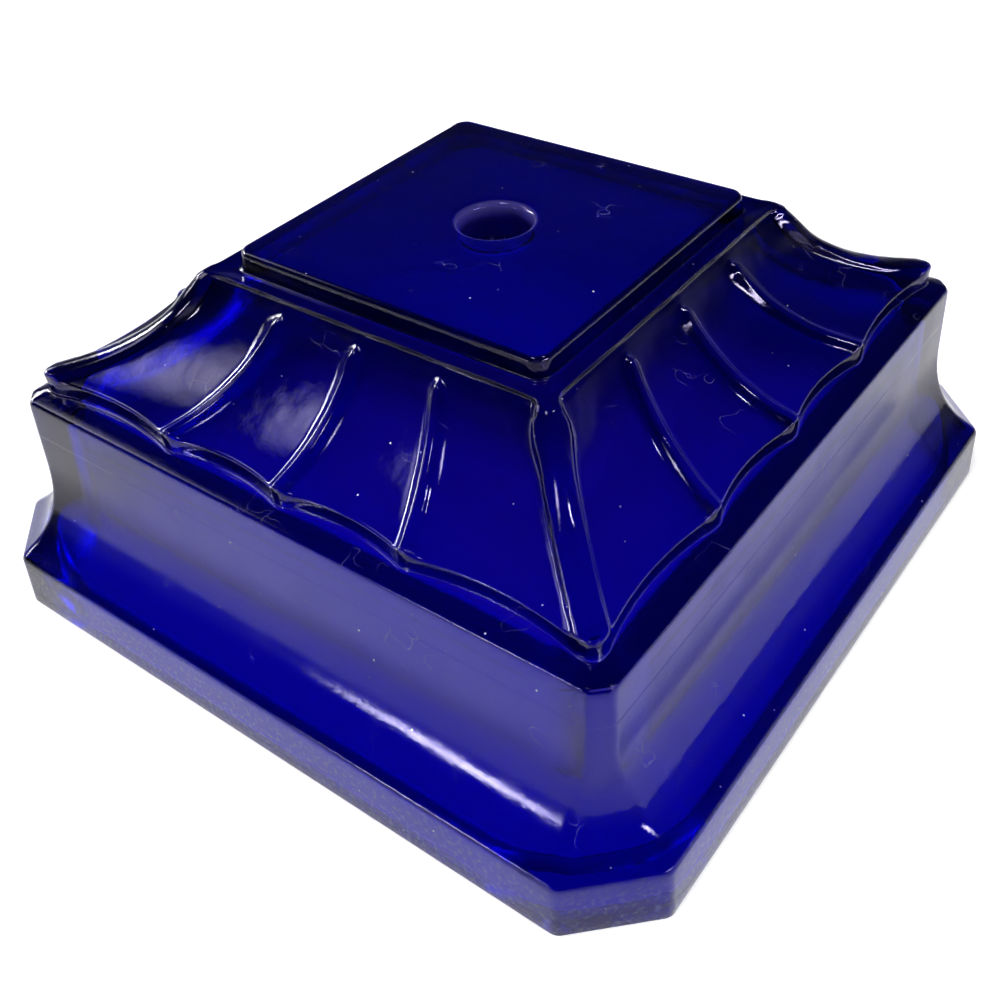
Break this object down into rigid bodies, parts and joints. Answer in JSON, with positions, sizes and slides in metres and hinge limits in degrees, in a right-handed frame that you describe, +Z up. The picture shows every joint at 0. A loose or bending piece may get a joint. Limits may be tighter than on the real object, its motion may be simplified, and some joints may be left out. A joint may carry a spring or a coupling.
{
  "type": "lamp base",
  "caption": "Square pressed-glass lamp base, hollow beneath, with a clipped-corner foot, a fluted and scalloped skirt and a raised top plate bored for the lamp pipe.",
  "frame": {"origin": "middle of the footprint, on the surface the foot stands on", "axes": "+Z up along the axis of the pipe hole; X and Y run square to the flats of the foot"},
  "size_m": [0.127, 0.127, 0.0563],
  "materials": {
    "cobalt_glass": "fire-polished gloss"
  },
  "bodies": {
    "root": {"glass_base": "cobalt_glass"}
  },
  "joints": []
}
